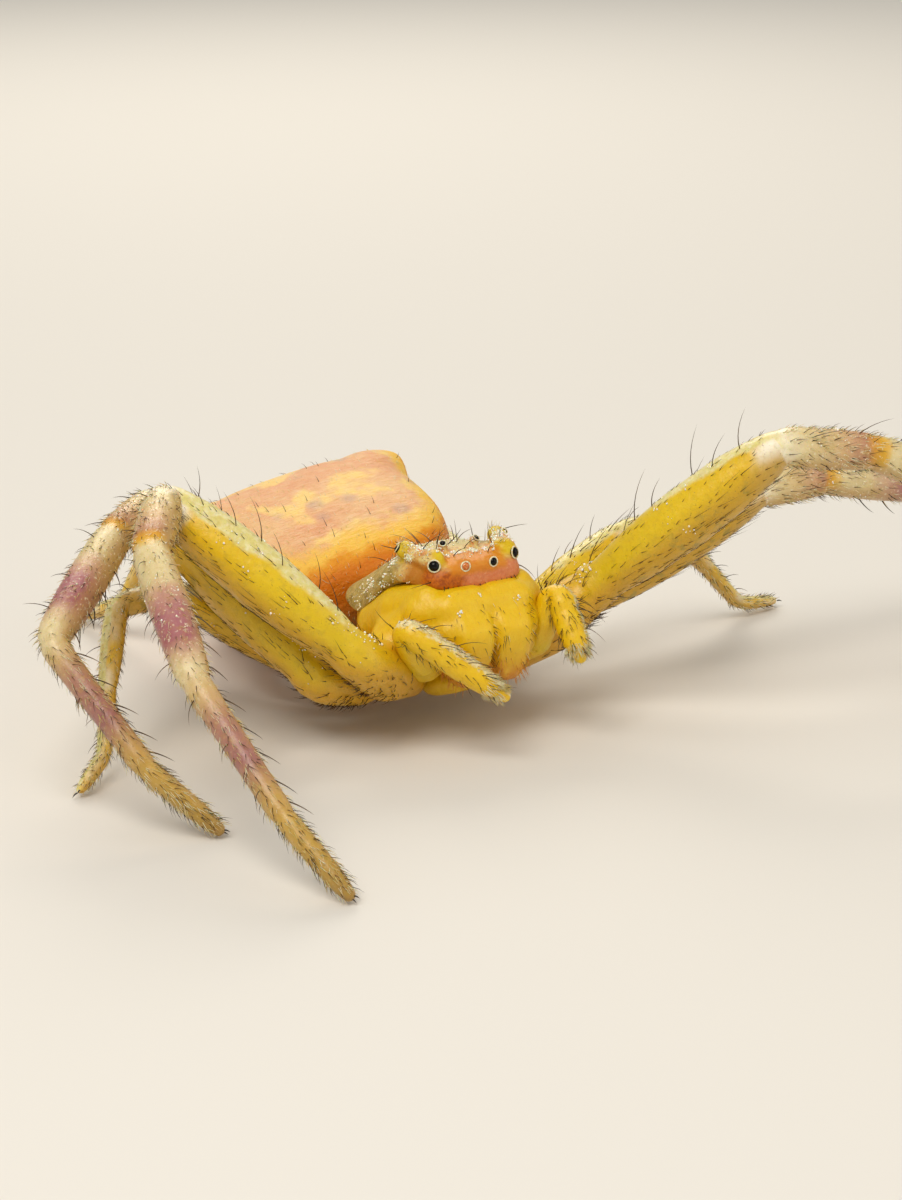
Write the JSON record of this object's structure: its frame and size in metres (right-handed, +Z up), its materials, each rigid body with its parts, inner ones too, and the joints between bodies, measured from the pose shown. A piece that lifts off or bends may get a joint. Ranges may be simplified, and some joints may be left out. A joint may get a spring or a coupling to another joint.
{
  "type": "crab spider",
  "caption": "Life-size female crab spider standing still on all its legs, the front pairs raised and bent, yellow and pink with dark bristles.",
  "frame": {"origin": "on the ground under the middle of the spider's outline", "axes": "+Z up from the ground, +X to the spider's left across the spread of its front legs, -Y the way the spider faces"},
  "size_m": [0.02, 0.0156, 0.005],
  "materials": {
    "eye_lens": "gloss",
    "carapace_cuticle": "satin",
    "body_cuticle": "satin",
    "abdomen_skin": "matte",
    "femur_cuticle": "satin",
    "leg_cuticle": "satin"
  },
  "bodies": {
    "root": {"abdomen": "abdomen_skin", "carapace": "carapace_cuticle", "eye_anterior_lateral_left": "eye_lens", "eye_anterior_lateral_right": "eye_lens", "eye_anterior_median_left": "eye_lens", "eye_anterior_median_right": "eye_lens", "eye_posterior_lateral_left": "eye_lens", "eye_posterior_lateral_right": "eye_lens", "eye_posterior_median_left": "eye_lens", "eye_posterior_median_right": "eye_lens", "jaw_left": "body_cuticle", "jaw_right": "body_cuticle", "left_leg_1_coxa": "body_cuticle", "left_leg_1_femur": "femur_cuticle", "left_leg_1_foot": "leg_cuticle", "left_leg_1_patella": "leg_cuticle", "left_leg_1_tibia": "leg_cuticle", "left_leg_2_coxa": "body_cuticle", "left_leg_2_femur": "femur_cuticle", "left_leg_2_foot": "leg_cuticle", "left_leg_2_patella": "leg_cuticle", "left_leg_2_tibia": "leg_cuticle", "left_leg_3_coxa": "body_cuticle", "left_leg_3_femur": "femur_cuticle", "left_leg_3_foot": "leg_cuticle", "left_leg_3_patella": "leg_cuticle", "left_leg_3_tibia": "leg_cuticle", "left_leg_4_coxa": "body_cuticle", "left_leg_4_femur": "femur_cuticle", "left_leg_4_foot": "leg_cuticle", "left_leg_4_patella": "leg_cuticle", "left_leg_4_tibia": "leg_cuticle", "mouth_plates": "body_cuticle", "palp_left_base": "body_cuticle", "palp_left_end": "body_cuticle", "palp_right_base": "body_cuticle", "palp_right_end": "body_cuticle", "right_leg_1_coxa": "body_cuticle", "right_leg_1_femur": "femur_cuticle", "right_leg_1_foot": "leg_cuticle", "right_leg_1_patella": "leg_cuticle", "right_leg_1_tibia": "leg_cuticle", "right_leg_2_coxa": "body_cuticle", "right_leg_2_femur": "femur_cuticle", "right_leg_2_foot": "leg_cuticle", "right_leg_2_patella": "leg_cuticle", "right_leg_2_tibia": "leg_cuticle", "right_leg_3_coxa": "body_cuticle", "right_leg_3_femur": "femur_cuticle", "right_leg_3_foot": "leg_cuticle", "right_leg_3_patella": "leg_cuticle", "right_leg_3_tibia": "leg_cuticle", "right_leg_4_coxa": "body_cuticle", "right_leg_4_femur": "femur_cuticle", "right_leg_4_foot": "leg_cuticle", "right_leg_4_patella": "leg_cuticle", "right_leg_4_tibia": "leg_cuticle", "spinnerets": "abdomen_skin", "sternum": "body_cuticle", "waist": "body_cuticle"}
  },
  "joints": []
}
